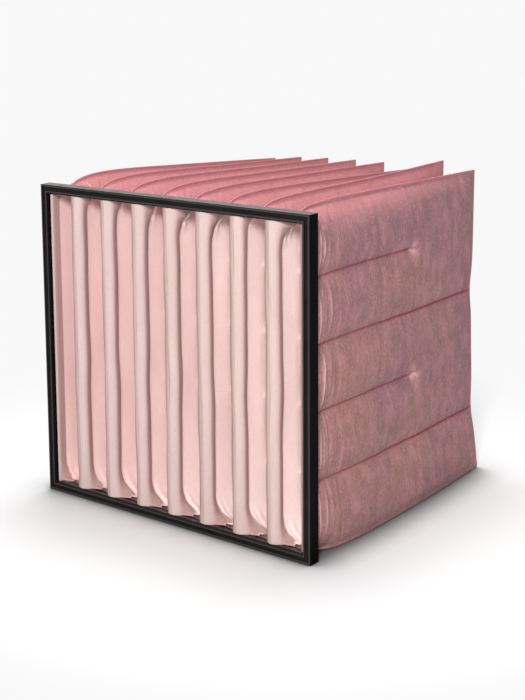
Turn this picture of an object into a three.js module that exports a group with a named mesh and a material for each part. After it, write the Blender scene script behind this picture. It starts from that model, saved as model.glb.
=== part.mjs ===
// Bag air filter: a black moulded header frame that holds eight sewn media pockets.
// Millimetres, +Z up. The header's front faces -Y and the pockets run back along +Y.
// The origin is on the floor, under the middle of the whole filter.
import * as THREE from 'three';

// Header frame
const HEADER_WIDTH = 592;
const HEADER_HEIGHT = 592;
const HEADER_DEPTH = 25;
const FACE_WIDTH = 17;
const OUTER_WALL = 2.5;
const INNER_WALL = 2;
const NOSE_THICKNESS = 9;
const BEAD_WIDTH = 2.5;
const BEAD_HEIGHT = 1.5;
const BEAD_CHAMFER = 1;
const LIP_WIDTH = 3;
const LIP_DROP = 4;

// Corner keys that join the header's four lengths
const KEY_LEG = 45;
const KEY_THICKNESS = 5;

// Divider rods that the media folds round between two pockets
const ROD_WIDTH = 17;
const ROD_DEPTH = 12;
const ROD_SETBACK = 8;

// Media pockets
const POCKET_COUNT = 8;
const OVERALL_DEPTH = 600;
const MEDIA_THICKNESS = 5;
const SEAM_THICKNESS = 1.5;
const SEAM_WIDTH = 7;
const MOUTH_SEAM_WIDTH = 2;
const SIDE_SHEET_SETBACK = 8;
const FULLNESS = 5;
const SEAM_LINE_HEIGHTS = [0.205, 0.41, 0.61, 0.81];
const SEAM_LINE_DEPTH = 4;
const SHORT_SEAM_REACH = 0.57;

// How the slack pockets hang and lean behind the header
const REAR_LEAN = 44;
const REAR_CLOSING = 6.7;
const LEAN_POWER = 1.6;
const FOOT_SWAY = 15;
const FOOT_SHARE = 0.9;
const SWAY_LENGTH = 40;
const REAR_BOW = 4;
const REAR_LINE_PULL = 8;
const REAR_PULL_POWER = 4;
const HUMP_FIRST = 13;
const HUMP_LAST = 5;
const HUMP_PLACE = 110;
const REAR_LIFTS = [-16, -9, -6, -5, -5, -13, 8, -5];
const TOP_RISE_LENGTH = 14;
const BOTTOM_DROP_LENGTH = 25;
const SEAM_SPREAD_LENGTH = 50;

// The section's shape: a high power is square, a low one is a slim lens
const MOUTH_POWER = 60;
const BODY_POWER = 4;
const SQUARE_LENGTH = 30;
const CLOSING_POWER = 1.8;

// Where the sheets' rows and columns lie: steps behind the header, then shares of what is left
const WRAP_STEPS = 3;
const NEAR_STEPS = [0, 16, 50, 110];
const FAR_SHARES = [0.22, 0.45, 0.75];
const EDGE_ROW = 0.03;

// Space left where two pieces touch
const CLEARANCE = 0.3;

const HEADER_FINISH = { color: 0x0d0c0c, roughness: 0.3, metalness: 0 };
const KEY_FINISH = { color: 0x2a2a2a, roughness: 0.5, metalness: 0 };
const ROD_FINISH = { color: 0x9a9c9e, roughness: 0.4, metalness: 0.8 };
const MEDIA_FINISH = { color: 0xc48a8e, roughness: 0.95, metalness: 0 };

// Sizes worked out from the ones above
const innerWidth = HEADER_WIDTH - 2 * FACE_WIDTH;
const rodHeight = HEADER_HEIGHT - 2 * FACE_WIDTH - 2 * CLEARANCE;
const foldClearance = ROD_WIDTH / 2 + CLEARANCE;
const barWidth = 2 * (foldClearance + MEDIA_THICKNESS);
const freeWidth = innerWidth - 2 * (CLEARANCE + MEDIA_THICKNESS);
const mouthWidth = (freeWidth - (POCKET_COUNT - 1) * barWidth) / POCKET_COUNT;
const pocketPitch = mouthWidth + barWidth;
const mouthHalf = mouthWidth / 2 + MEDIA_THICKNESS;
const rodCentreDepth = ROD_SETBACK + ROD_DEPTH / 2;
const backOfHeader = HEADER_DEPTH + CLEARANCE;
const seamDepth = OVERALL_DEPTH - SEAM_WIDTH;
const halfSeamGap = CLEARANCE / 2;
const seamHalf = halfSeamGap + SEAM_THICKNESS;
const rodSides = 4 * WRAP_STEPS;

function mix(a, b, t) {
  return a + (b - a) * t;
}

function namedMesh(name, geometry, finish) {
  geometry.computeVertexNormals();
  const mesh = new THREE.Mesh(geometry, new THREE.MeshStandardMaterial(finish));
  mesh.name = name;
  return mesh;
}

// The header's section: x is measured inward from the outer edge, y back from the front.
// Two beads run along the face, and a channel is open to the back.
function headerSection() {
  const innerBead = FACE_WIDTH - LIP_WIDTH - BEAD_WIDTH;
  return new THREE.Shape([
    new THREE.Vector2(0, BEAD_CHAMFER),
    new THREE.Vector2(BEAD_CHAMFER, 0),
    new THREE.Vector2(BEAD_CHAMFER + BEAD_WIDTH, 0),
    new THREE.Vector2(2 * BEAD_CHAMFER + BEAD_WIDTH, BEAD_HEIGHT),
    new THREE.Vector2(innerBead - BEAD_CHAMFER, BEAD_HEIGHT),
    new THREE.Vector2(innerBead, 0),
    new THREE.Vector2(innerBead + BEAD_WIDTH, 0),
    new THREE.Vector2(FACE_WIDTH, LIP_DROP),
    new THREE.Vector2(FACE_WIDTH, HEADER_DEPTH),
    new THREE.Vector2(FACE_WIDTH - INNER_WALL, HEADER_DEPTH),
    new THREE.Vector2(FACE_WIDTH - INNER_WALL, NOSE_THICKNESS),
    new THREE.Vector2(OUTER_WALL, NOSE_THICKNESS),
    new THREE.Vector2(OUTER_WALL, HEADER_DEPTH),
    new THREE.Vector2(0, HEADER_DEPTH),
  ]);
}

// One length of the header, lying along x with its outer edge at z = 0 and mitred ends.
function headerLength(length) {
  const geometry = new THREE.ExtrudeGeometry(headerSection(), { depth: 1, bevelEnabled: false });
  const points = geometry.attributes.position;
  for (let i = 0; i < points.count; i += 1) {
    const inward = points.getX(i);
    const back = points.getY(i);
    const side = points.getZ(i) > 0.5 ? 1 : -1;
    const halfLength = length / 2 - inward - CLEARANCE / 2;
    points.setXYZ(i, side * halfLength, back, inward);
  }
  return facingOut(geometry);
}

// Each side is the bottom length turned about the header's centre.
function headerSides() {
  const sides = [
    { name: 'header_bottom', length: HEADER_WIDTH, reach: HEADER_HEIGHT / 2, turn: 0 },
    { name: 'header_right', length: HEADER_HEIGHT, reach: HEADER_WIDTH / 2, turn: -Math.PI / 2 },
    { name: 'header_top', length: HEADER_WIDTH, reach: HEADER_HEIGHT / 2, turn: Math.PI },
    { name: 'header_left', length: HEADER_HEIGHT, reach: HEADER_WIDTH / 2, turn: Math.PI / 2 },
  ];
  return sides.map(({ name, length, reach, turn }) => {
    const geometry = headerLength(length);
    geometry.translate(0, 0, -reach);
    geometry.rotateY(turn);
    geometry.translate(0, 0, HEADER_HEIGHT / 2);
    return namedMesh(name, geometry, HEADER_FINISH);
  });
}

// An angle key pushed into the channels of two lengths at a corner.
function cornerKey(name, sideX, sideZ) {
  const outer = OUTER_WALL + CLEARANCE;
  const inner = FACE_WIDTH - INNER_WALL - CLEARANCE;
  const outline = new THREE.Shape([
    new THREE.Vector2(outer, outer),
    new THREE.Vector2(outer + KEY_LEG, outer),
    new THREE.Vector2(outer + KEY_LEG, inner),
    new THREE.Vector2(inner, inner),
    new THREE.Vector2(inner, outer + KEY_LEG),
    new THREE.Vector2(outer, outer + KEY_LEG),
  ]);
  const geometry = new THREE.ExtrudeGeometry(outline, { depth: KEY_THICKNESS, bevelEnabled: false });
  const points = geometry.attributes.position;
  for (let i = 0; i < points.count; i += 1) {
    const x = sideX * (HEADER_WIDTH / 2 - points.getX(i));
    const y = NOSE_THICKNESS + CLEARANCE + points.getZ(i);
    const z = HEADER_HEIGHT / 2 + sideZ * (HEADER_HEIGHT / 2 - points.getY(i));
    points.setXYZ(i, x, y, z);
  }
  return namedMesh(name, facingOut(geometry), KEY_FINISH);
}

// Turns every triangle over where the solid has come out inside out.
function facingOut(geometry) {
  const solid = geometry.index ? geometry.toNonIndexed() : geometry;
  const points = solid.attributes.position;
  const corners = [new THREE.Vector3(), new THREE.Vector3(), new THREE.Vector3()];
  let volume = 0;
  for (let i = 0; i < points.count; i += 3) {
    corners.forEach((corner, c) => corner.fromBufferAttribute(points, i + c));
    volume += corners[0].dot(corners[1].clone().cross(corners[2]));
  }
  if (volume < 0) {
    for (let i = 0; i < points.count; i += 3) {
      corners.forEach((corner, c) => corner.fromBufferAttribute(points, i + c));
      points.setXYZ(i + 1, corners[2].x, corners[2].y, corners[2].z);
      points.setXYZ(i + 2, corners[1].x, corners[1].y, corners[1].z);
    }
  }
  return solid;
}

// An oval rod that stands between two pockets.
function dividerRod(name, x) {
  const outline = new THREE.Shape();
  for (let i = 0; i < rodSides; i += 1) {
    const angle = (i / rodSides) * 2 * Math.PI;
    const px = (ROD_WIDTH / 2) * Math.cos(angle);
    const py = (ROD_DEPTH / 2) * Math.sin(angle);
    if (i === 0) outline.moveTo(px, py);
    else outline.lineTo(px, py);
  }
  const geometry = new THREE.ExtrudeGeometry(outline, { depth: rodHeight, bevelEnabled: false });
  const mesh = namedMesh(name, geometry, ROD_FINISH);
  mesh.position.set(x, rodCentreDepth, FACE_WIDTH + CLEARANCE);
  return mesh;
}

// How far along the pocket a depth lies, 0 at the header's back and 1 at the rear edge.
function along(depth) {
  return Math.max(0, depth - backOfHeader) / (OVERALL_DEPTH - backOfHeader);
}

// The pocket's middle plane leans to one side as it runs back.
function middleX(pocket, depth) {
  const place = pocket - (POCKET_COUNT - 1) / 2;
  const shift = REAR_LEAN - place * REAR_CLOSING;
  return place * pocketPitch + shift * along(depth) ** LEAN_POWER;
}

// The lowest stitched line runs the full depth, the next one stops part way, and so on.
function isShortLine(line) {
  return line % 2 === 1;
}

// A pocket's foot is pushed over, so that its right sheet hangs straight to the bottom seam.
// The gap is how much narrower the section is at this height than at its middle.
function footShift(height, depth, gap) {
  if (height > 0.5) return 0;
  const behind = Math.max(0, depth - backOfHeader);
  const grown = 1 - Math.exp(-behind / SWAY_LENGTH);
  return grown * (FOOT_SHARE * gap + FOOT_SWAY * (1 - 2 * height) ** 2);
}

// The long stitched lines draw the rear edge forward between its top and bottom corners.
function rearPull(height, depth) {
  const line = SEAM_LINE_HEIGHTS.indexOf(height);
  const isLong = line >= 0 && !isShortLine(line);
  const pull = REAR_BOW * Math.sin(Math.PI * height) + (isLong ? REAR_LINE_PULL : 0);
  return pull * along(depth) ** REAR_PULL_POWER;
}

function bottomZ(depth) {
  const start = FACE_WIDTH + CLEARANCE;
  const behind = Math.max(0, depth - backOfHeader);
  return start * Math.exp(-behind / BOTTOM_DROP_LENGTH);
}

function topZ(pocket, depth) {
  const behind = Math.max(0, depth - backOfHeader);
  const drop = (FACE_WIDTH + CLEARANCE) * Math.exp(-behind / TOP_RISE_LENGTH);
  const hump = mix(HUMP_FIRST, HUMP_LAST, pocket / Math.max(1, POCKET_COUNT - 1));
  const swell = (behind / HUMP_PLACE) * Math.exp(1 - behind / HUMP_PLACE);
  const lift = REAR_LIFTS[pocket % REAR_LIFTS.length] * along(depth) ** 2;
  return HEADER_HEIGHT - drop + hump * swell + lift;
}

// Half the pocket's outside width at mid height, full at the mouth and closed at the rear seam.
function halfWidth(depth) {
  const t = Math.min(1, along(depth) / along(seamDepth));
  const swell = FULLNESS * 4 * t * (1 - t);
  return mix(mouthHalf, seamHalf, t ** CLOSING_POWER) + swell;
}

// The section is square at the mouth and turns into a slim lens behind the header.
function fillAt(height, depth) {
  const behind = Math.max(0, depth - backOfHeader);
  const power = mix(BODY_POWER, MOUTH_POWER, Math.exp(-behind / SQUARE_LENGTH));
  return Math.sqrt(Math.max(0, 1 - Math.abs(2 * height - 1) ** power));
}

// The stitched lines pull the sheet in.
function stitchPull(height, depth) {
  const line = SEAM_LINE_HEIGHTS.indexOf(height);
  if (line < 0 || depth <= backOfHeader) return 0;
  if (isShortLine(line) && along(depth) > SHORT_SEAM_REACH) return 0;
  return SEAM_LINE_DEPTH * Math.min(1, halfWidth(depth) / mouthHalf);
}

// Heights between the bottom and top seams, with a crown between each two stitched lines.
function rowHeights() {
  const lines = [0, ...SEAM_LINE_HEIGHTS, 1];
  const heights = [0, EDGE_ROW];
  for (let i = 0; i + 1 < lines.length; i += 1) {
    heights.push((lines[i] + lines[i + 1]) / 2);
    if (i + 2 < lines.length) heights.push(lines[i + 1]);
  }
  return [...heights, 1 - EDGE_ROW, 1];
}

// Depths of the columns behind the rod, the last two being the rear seam and the rear edge.
function columnDepths() {
  const behind = NEAR_STEPS.map((step) => backOfHeader + step);
  const last = behind[behind.length - 1];
  const rest = FAR_SHARES.map((share) => mix(last, seamDepth, share));
  return [...behind, ...rest, seamDepth, OVERALL_DEPTH];
}

// One column of a sheet: pairs of outside and inside points from the bottom edge to the top.
function sheetColumn(pocket, side, depth) {
  const middle = middleX(pocket, depth);
  const low = bottomZ(depth);
  const high = topZ(pocket, depth);
  const spread = Math.min(1, Math.max(0, depth - backOfHeader) / SEAM_SPREAD_LENGTH);
  const seamWidth = mix(MOUTH_SEAM_WIDTH, SEAM_WIDTH, spread);
  const half = (high - low) / 2 - seamWidth;
  const centre = (high + low) / 2;
  const fullSwell = halfWidth(depth) - seamHalf;
  const pair = (height, swell, outerHalf, innerHalf, outerZ, innerZ) => {
    const x = middle + footShift(height, depth, fullSwell - swell);
    const y = depth - rearPull(height, depth);
    return [
      new THREE.Vector3(x + side * outerHalf, y, outerZ),
      new THREE.Vector3(x + side * innerHalf, y, innerZ),
    ];
  };
  const rows = rowHeights().map((height) => {
    const swell = fullSwell * fillAt(height, depth);
    const outerHalf = seamHalf + swell - Math.min(swell / 2, stitchPull(height, depth));
    const innerHalf = Math.max(halfSeamGap, outerHalf - MEDIA_THICKNESS);
    const reach = 2 * height - 1;
    const innerReach = reach * (half - MEDIA_THICKNESS);
    return pair(height, swell, outerHalf, innerHalf, centre + reach * half, centre + innerReach);
  });
  return [
    pair(0, 0, seamHalf, halfSeamGap, low, low),
    ...rows,
    pair(1, 0, seamHalf, halfSeamGap, high, high),
  ];
}

// The front columns stand upright from the bottom of the header's opening to the top.
function uprightColumn(outer, inner) {
  const low = FACE_WIDTH + CLEARANCE;
  const high = HEADER_HEIGHT - FACE_WIDTH - CLEARANCE;
  const seamLow = low + MOUTH_SEAM_WIDTH;
  const seamHigh = high - MOUTH_SEAM_WIDTH;
  const heights = [low, ...rowHeights().map((height) => mix(seamLow, seamHigh, height)), high];
  return heights.map((z) => [
    new THREE.Vector3(outer.x, outer.y, z),
    new THREE.Vector3(inner.x, inner.y, z),
  ]);
}

// The media folds a quarter turn round its rod, from the rod's front to its side.
function foldColumns(rodX, side) {
  const columns = [];
  for (let i = 0; i <= WRAP_STEPS; i += 1) {
    const angle = (i / WRAP_STEPS) * (Math.PI / 2);
    const at = (grow) => ({
      x: rodX - side * Math.max(halfSeamGap, (ROD_WIDTH / 2 + grow) * Math.sin(angle)),
      y: rodCentreDepth - (ROD_DEPTH / 2 + grow) * Math.cos(angle),
    });
    columns.push(uprightColumn(at(CLEARANCE), at(CLEARANCE + MEDIA_THICKNESS)));
  }
  return columns;
}

// The outermost sheets run straight forward along the inside of the header.
function straightColumns(pocket, side) {
  const middle = middleX(pocket, 0);
  const columns = [];
  for (let i = 0; i <= WRAP_STEPS; i += 1) {
    const y = mix(SIDE_SHEET_SETBACK, rodCentreDepth, i / WRAP_STEPS);
    const outer = { x: middle + side * mouthHalf, y };
    const inner = { x: middle + side * (mouthHalf - MEDIA_THICKNESS), y };
    columns.push(uprightColumn(outer, inner));
  }
  return columns;
}

// Closes a grid of outside and inside points into one solid sheet.
function sheetGeometry(columns) {
  const rows = columns[0].length;
  const points = columns.flat(2).flatMap((point) => [point.x, point.y, point.z]);
  const at = (column, row, face) => 2 * (column * rows + row) + face;
  const triangles = [];
  const quad = (a, b, c, d) => triangles.push(a, b, c, a, c, d);
  const last = columns.length - 1;
  for (let i = 0; i < last; i += 1) {
    for (let j = 0; j + 1 < rows; j += 1) {
      quad(at(i, j, 0), at(i + 1, j, 0), at(i + 1, j + 1, 0), at(i, j + 1, 0));
      quad(at(i, j, 1), at(i, j + 1, 1), at(i + 1, j + 1, 1), at(i + 1, j, 1));
    }
    quad(at(i, 0, 0), at(i, 0, 1), at(i + 1, 0, 1), at(i + 1, 0, 0));
    quad(at(i, rows - 1, 0), at(i + 1, rows - 1, 0), at(i + 1, rows - 1, 1), at(i, rows - 1, 1));
  }
  for (let j = 0; j + 1 < rows; j += 1) {
    quad(at(0, j, 0), at(0, j + 1, 0), at(0, j + 1, 1), at(0, j, 1));
    quad(at(last, j, 0), at(last, j, 1), at(last, j + 1, 1), at(last, j + 1, 0));
  }
  const geometry = new THREE.BufferGeometry();
  geometry.setAttribute('position', new THREE.Float32BufferAttribute(points, 3));
  geometry.setIndex(triangles);
  return facingOut(geometry);
}

// One of the two sewn sheets of a pocket; side is -1 for the left sheet and 1 for the right.
function pocketSheet(pocket, side) {
  const isOutermost = side < 0 ? pocket === 0 : pocket === POCKET_COUNT - 1;
  const rodX = middleX(pocket, 0) + (side * pocketPitch) / 2;
  const front = isOutermost ? straightColumns(pocket, side) : foldColumns(rodX, side);
  const body = columnDepths().map((depth) => sheetColumn(pocket, side, depth));
  const name = `pocket_${pocket + 1}_${side < 0 ? 'left' : 'right'}_sheet`;
  return namedMesh(name, sheetGeometry([...front, ...body]), MEDIA_FINISH);
}

function bagFilter() {
  const filter = new THREE.Group();
  filter.add(...headerSides());
  filter.add(cornerKey('corner_key_bottom_left', -1, -1));
  filter.add(cornerKey('corner_key_bottom_right', 1, -1));
  filter.add(cornerKey('corner_key_top_left', -1, 1));
  filter.add(cornerKey('corner_key_top_right', 1, 1));
  for (let pocket = 0; pocket < POCKET_COUNT; pocket += 1) {
    filter.add(pocketSheet(pocket, -1));
    filter.add(pocketSheet(pocket, 1));
    if (pocket + 1 < POCKET_COUNT) {
      const rodX = middleX(pocket, 0) + pocketPitch / 2;
      filter.add(dividerRod(`divider_rod_${pocket + 1}`, rodX));
    }
  }
  filter.position.y = -OVERALL_DEPTH / 2;
  return filter;
}

export default bagFilter();
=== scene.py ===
# The looks of the bag air filter: soft sewn pockets, a black moulded header and a plain studio.
# Lengths are in millimetres in the filter's own frame, with depth 0 at the header's front, and
# are turned into metres of the row frame when a mesh is made. Materials, lights and the camera
# are in metres from the start.
import math

import bpy
import numpy as np
from mathutils import Matrix, Vector


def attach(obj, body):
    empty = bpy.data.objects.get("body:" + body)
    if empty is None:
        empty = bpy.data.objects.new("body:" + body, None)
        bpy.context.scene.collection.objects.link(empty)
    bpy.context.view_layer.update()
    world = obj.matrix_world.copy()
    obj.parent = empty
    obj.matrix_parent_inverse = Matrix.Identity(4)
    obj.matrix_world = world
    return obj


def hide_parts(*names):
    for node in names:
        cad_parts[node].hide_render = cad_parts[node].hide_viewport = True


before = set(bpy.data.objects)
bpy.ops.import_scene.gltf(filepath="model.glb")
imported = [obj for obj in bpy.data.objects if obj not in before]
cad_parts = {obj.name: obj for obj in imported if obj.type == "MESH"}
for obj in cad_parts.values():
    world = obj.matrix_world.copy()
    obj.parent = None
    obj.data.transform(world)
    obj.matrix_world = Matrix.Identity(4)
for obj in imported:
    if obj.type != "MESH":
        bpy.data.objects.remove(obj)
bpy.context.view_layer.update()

# The same values as in the part's source
HEADER_WIDTH = 592.0
HEADER_HEIGHT = 592.0
HEADER_DEPTH = 25.0
FACE_WIDTH = 17.0
BEAD_WIDTH = 2.5
BEAD_CHAMFER = 1.0
BEAD_TO_EDGE = 3.0
ROD_WIDTH = 17.0
ROD_DEPTH = 12.0
ROD_SETBACK = 8.0
POCKET_COUNT = 8
OVERALL_DEPTH = 600.0
MEDIA = 5.0
SEAM_THICKNESS = 1.5
SEAM_WIDTH = 7.0
MOUTH_SEAM_WIDTH = 2.0
SIDE_SHEET_SETBACK = 8.0
FULLNESS = 5.0
CLOSING_POWER = 1.8
SEAM_LINES = (0.205, 0.41, 0.61, 0.81)
SHORT_REACH = 0.57
REAR_LEAN = 44.0
LEAN_POWER = 1.6
REAR_CLOSING = 6.7
FOOT_SWAY = 15.0
FOOT_SHARE = 0.9
SWAY_LENGTH = 40.0
REAR_BOW = 4.0
REAR_LINE_PULL = 8.0
REAR_PULL_POWER = 4
SCALLOP_WIDTH = 0.07
HUMP_FIRST = 13.0
HUMP_LAST = 5.0
HUMP_PLACE = 110.0
REAR_LIFTS = (-16.0, -9.0, -6.0, -5.0, -5.0, -13.0, 8.0, -5.0)
TOP_RISE = 14.0
BOTTOM_DROP = 25.0
CLEARANCE = 0.3
# A pocket's section is square at the mouth and rounder further back
MOUTH_POWER = 60
BODY_POWER = 4
SQUARE_LENGTH = 30
SEAM_SPREAD_LENGTH = 50

INNER_WIDTH = HEADER_WIDTH - 2 * FACE_WIDTH
BAR_WIDTH = 2 * (ROD_WIDTH / 2 + CLEARANCE + MEDIA)
FREE_WIDTH = INNER_WIDTH - 2 * (CLEARANCE + MEDIA)
MOUTH_WIDTH = (FREE_WIDTH - (POCKET_COUNT - 1) * BAR_WIDTH) / POCKET_COUNT
PITCH = MOUTH_WIDTH + BAR_WIDTH
MOUTH_HALF = MOUTH_WIDTH / 2 + MEDIA
ROD_MIDDLE = ROD_SETBACK + ROD_DEPTH / 2
BACK = HEADER_DEPTH + CLEARANCE
SEAM_DEPTH = OVERALL_DEPTH - SEAM_WIDTH
SEAM_HALF = CLEARANCE / 2 + SEAM_THICKNESS
MOUTH_LOW = FACE_WIDTH + CLEARANCE
MOUTH_HIGH = HEADER_HEIGHT - FACE_WIDTH - CLEARANCE
SHORT_END = BACK + (OVERALL_DEPTH - BACK) * SHORT_REACH

# Looks only, from here on. Each stitched line lies in a valley, with a crown between two.
LINE_DEPTH = 4.5
CROWN_RISE = 3.0
QUILT_POWER = 2.4
QUILT_LENGTH = 30.0
# A sheet that shows inside a mouth is smooth for this far behind the header
MOUTH_CALM = 60.0
# Its creases start at this depth and are full after this length
CREASE_START = 62.0
CREASE_LENGTH = 40.0
# Rows between these shares of the height keep it; the others follow the rounded ends
ROWS_LOW = 0.16
ROWS_HIGH = 0.86
# How finely a sheet is divided, in the two outermost pockets and in the others
FINE = {"row_step": 6.0, "beside_lines": (1.0, 2.2, 4.0), "end_rows": 32, "folds": 30, "column_step": 6.5}
PLAIN = {"row_step": 9.0, "beside_lines": (1.2, 3.0), "end_rows": 20, "folds": 15, "column_step": 10.5}
# The fold round a rod: its number of columns, and how they crowd toward the front
FOLD_STEPS = 14
FOLD_CROWDING = 1.25
# The star creases at the ends of the short lines
STAR_RAYS = 4
STAR_TURN = 0.8
STAR_HEIGHT = 2.2
DIMPLE_DEPTH = 2.4
# The upright folds of one panel: how many, and how far apart
FOLD_COUNT = 5
FOLD_SPACING = 9.5
FOLD_HEIGHT = 3.0
# Heights of the small creases: near the header, along the hem, on top, and the dents behind
NEAR_CREASE = 0.8
HEM_CREASE = 1.7
TOP_CREASE = 2.6
DENT = 1.1
SMALL_DENT = 0.7
# How far each pocket's cloth swings over the corners of its mouth, left to right
TOP_FLARE = (0.0, 4.0, 5.0, 12.0, 20.0, 17.0, 4.0, 19.0)
FOOT_FLARE = (6.0, 9.0, 14.0, 12.0, 15.0, 18.0, 19.0, 10.0)
TOP_FLARE_HEIGHT = 56.0
FOOT_FLARE_HEIGHT = 48.0
# The upright folds show between these depths, where the header stops hiding the cloth
FOLDS_START = 42.0
FOLDS_END = 104.0
# The cloth behind a bar is drawn in, so the bar stands out as a roll
PINCH = 5.0
PINCH_DEPTH = 30.0
PINCH_LENGTH = 7.0
PINCH_RETURN = 48.0
# The bar's grey-pink colour, which holds a painted highlight and painted shade, turns into the pocket's
# pink cloth at this depth
BAR_BACK = 25.0
BAR_SWAY = 1.6
BAR_SWELL = 1.2
BAR_FOLDS = 0.6
# How far the pocket's floor reaches forward over the header's bottom length
APRON = 11.0
# How deep and wide the thread's own groove is at the bottom of each quilted valley
GROOVE_DEPTH = 2.2
GROOVE_WIDTH = 2.6
# The cloth settles as a model of this many millimetres to a unit, for this many frames, and may
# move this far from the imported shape
CLOTH_SCALE = 100.0
SETTLE_FRAMES = 18
SETTLE_CAP = 4.5
# Height between two rows of the fan that joins a bar to its pocket's floor
FAN_STEP = 1.1
# The sewing thread that lies in each groove
STITCH_LENGTH = 3.4
STITCH_GAP = 1.0
THREAD_RADIUS = 0.55


def placed(name, data):
    """A new object in the scene."""
    o = bpy.data.objects.new(name, data)
    bpy.context.scene.collection.objects.link(o)
    return o


def mix(a, b, t):
    return a + (b - a) * t


def smooth(t):
    t = np.clip(t, 0, 1)
    return t * t * (3 - 2 * t)


def along(depth):
    """0 where the pockets leave the header and 1 at their rear edge."""
    return np.maximum(0, depth - BACK) / (OVERALL_DEPTH - BACK)


def middle_x(k, depth):
    """Where the middle of a pocket lies, which leans to the right toward the rear."""
    place = k - (POCKET_COUNT - 1) / 2
    return place * PITCH + (REAR_LEAN - place * REAR_CLOSING) * along(depth) ** LEAN_POWER


def grown(depth):
    return 1 - np.exp(-np.maximum(0, depth - BACK) / SWAY_LENGTH)


def foot_shift(height, depth, gap):
    """How far the lower half of a section sways past its middle."""
    sway = FOOT_SHARE * gap + FOOT_SWAY * (1 - 2 * height) ** 2
    return np.where(height > 0.5, 0, grown(depth) * sway)


def line_bell(height, width):
    """1 on a long stitched line and 0 away from it, for the rear edge's scallops."""
    out = 0
    for i in (0, 2):
        out = out + np.exp(-(((height - SEAM_LINES[i]) / width) ** 2))
    return out


def rear_pull(height, depth):
    pull = REAR_BOW * np.sin(math.pi * height) + REAR_LINE_PULL * line_bell(height, SCALLOP_WIDTH)
    return pull * along(depth) ** REAR_PULL_POWER


def bottom_z(depth):
    """The pocket's lower edge, which drops to the floor behind the header."""
    return MOUTH_LOW * np.exp(-np.maximum(0, depth - BACK) / BOTTOM_DROP)


def top_z(k, depth):
    """The pocket's upper edge, with its rise behind the header."""
    behind = np.maximum(0, depth - BACK)
    hump = mix(HUMP_FIRST, HUMP_LAST, k / (POCKET_COUNT - 1))
    swell = behind / HUMP_PLACE * np.exp(1 - behind / HUMP_PLACE)
    drop = MOUTH_LOW * np.exp(-behind / TOP_RISE)
    return HEADER_HEIGHT - drop + hump * swell + REAR_LIFTS[k] * along(depth) ** 2


def half_width(depth):
    """Half the pocket's width at its fullest, from the mouth to the rear seam."""
    t = np.minimum(1, along(depth) / along(SEAM_DEPTH))
    return mix(MOUTH_HALF, SEAM_HALF, t ** CLOSING_POWER) + FULLNESS * 4 * t * (1 - t)


def power_at(depth):
    return mix(BODY_POWER, MOUTH_POWER, np.exp(-np.maximum(0, depth - BACK) / SQUARE_LENGTH))


def quilting(height, depth, side):
    """How far the cloth stands out: a valley on each stitched line, a crown between two."""
    height = np.asarray(height, float)
    is_past = along(depth) > SHORT_REACH
    lines = [0.0, *(v for i, v in enumerate(SEAM_LINES) if i % 2 == 0 or not is_past), 1.0]
    above = np.clip(np.searchsorted(lines, height, side="left"), 1, len(lines) - 1)
    lines = np.array(lines)
    t = (height - lines[above - 1]) / (lines[above] - lines[above - 1])
    arch = 1 - np.abs(2 * t - 1) ** QUILT_POWER
    start = BACK + (MOUTH_CALM if side < 0 else 0)
    grown_here = 1 - math.exp(-max(0, depth - start) / QUILT_LENGTH)
    size = grown_here * min(1, half_width(depth) / MOUTH_HALF)
    return size * mix(-LINE_DEPTH, CROWN_RISE, arch)


def row_plan(detail):
    """Fixed heights between the two rounded ends, dense beside the stitched lines."""
    heights = set()
    marks = [ROWS_LOW, *SEAM_LINES, ROWS_HIGH]
    for a, b in zip(marks, marks[1:]):
        n = max(2, round((b - a) * HEADER_HEIGHT / detail["row_step"]))
        heights.update(round(mix(a, b, i / n), 5) for i in range(n + 1))
    for line in SEAM_LINES:
        for off in detail["beside_lines"]:
            heights.update({round(line - off / HEADER_HEIGHT, 5), round(line + off / HEADER_HEIGHT, 5)})
    return sorted(heights), detail["end_rows"]


def column_plan(detail):
    """Depths of the columns: close together where the folds behind the header show."""
    near = np.linspace(BACK, FOLDS_START, 8)
    folds = np.linspace(FOLDS_START, FOLDS_END, detail["folds"])[1:]
    n = round((SEAM_DEPTH - FOLDS_END) / detail["column_step"])
    far = np.linspace(FOLDS_END, SEAM_DEPTH, n + 1)[1:]
    rear = np.linspace(SEAM_DEPTH, OVERALL_DEPTH, 4)[1:]
    return np.concatenate([near, folds, far, rear])


def end_heights(depth, swell, half, edge, count):
    """Heights from the seam to the height called edge, evenly spaced along the section's curve."""
    h = np.concatenate([[0], np.geomspace(1e-7, edge, 260)])
    x = swell * np.sqrt(np.maximum(0, 1 - np.abs(2 * h - 1) ** power_at(depth)))
    z = (2 * h - 1) * half
    run = np.concatenate([[0], np.cumsum(np.hypot(np.diff(x), np.diff(z)))])
    return np.interp(np.linspace(0, run[-1], count + 1)[:-1], run, h)


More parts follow.
